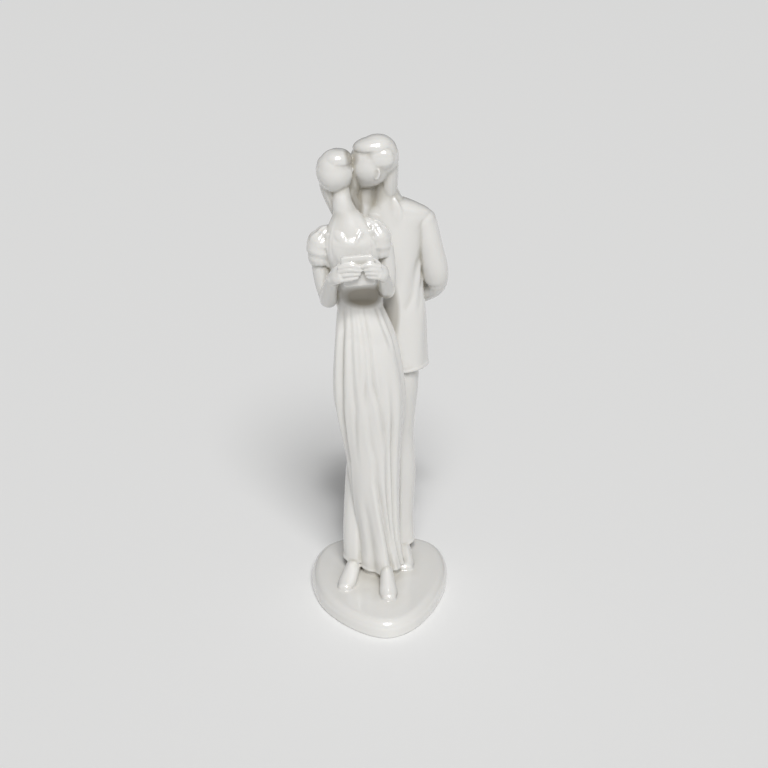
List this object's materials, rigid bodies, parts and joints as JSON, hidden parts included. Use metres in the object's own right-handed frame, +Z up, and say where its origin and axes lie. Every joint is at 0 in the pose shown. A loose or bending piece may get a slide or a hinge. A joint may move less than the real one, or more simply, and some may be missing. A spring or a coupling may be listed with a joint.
{
  "type": "couple figurine",
  "caption": "White glazed porcelain figurine of a woman in a long dress leaning back against a man in a jacket, on a low rounded base.",
  "frame": {"origin": "middle of the flat underside of the base", "axes": "+Z up through the standing couple, -Y the front that faces the viewer, +X the viewer's right"},
  "size_m": [0.0916, 0.1058, 0.3035],
  "materials": {
    "porcelain": "white porcelain under a clear glossy glaze, slightly warm where the glaze pools in the creases"
  },
  "bodies": {
    "root": {"couple_figurine": "porcelain"}
  },
  "joints": []
}
